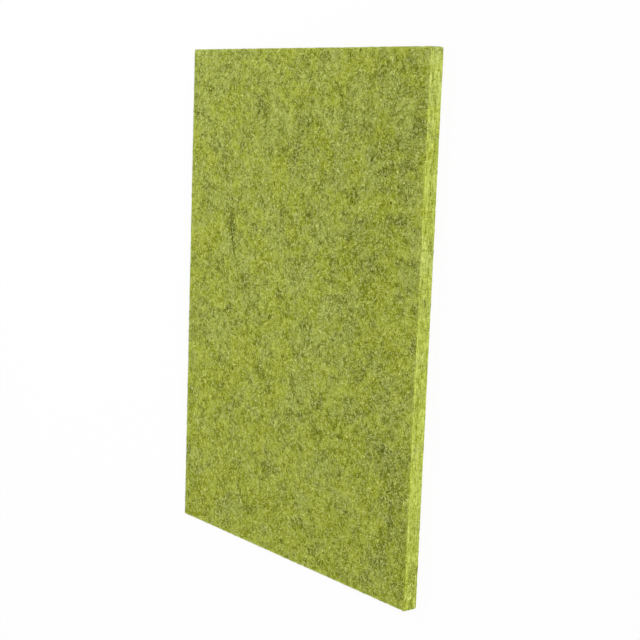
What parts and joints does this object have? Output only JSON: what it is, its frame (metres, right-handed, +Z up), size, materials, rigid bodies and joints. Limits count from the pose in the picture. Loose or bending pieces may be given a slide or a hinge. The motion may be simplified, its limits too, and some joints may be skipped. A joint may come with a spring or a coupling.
{
  "type": "polyester acoustic panel",
  "caption": "Flat rectangular board of pressed polyester felt with square-cut edges, a sound-absorbing wall or ceiling panel.",
  "frame": {"origin": "on the floor under the middle of the board, which lies flat on its back face", "axes": "+X across the board's width, +Y along its length, +Z up through its thickness, out of the front face"},
  "size_m": [0.21, 0.297, 0.009],
  "materials": {
    "felt": "matte heathered needle felt in lime green with darker olive fibres"
  },
  "bodies": {
    "root": {"felt_board": "felt"}
  },
  "joints": []
}
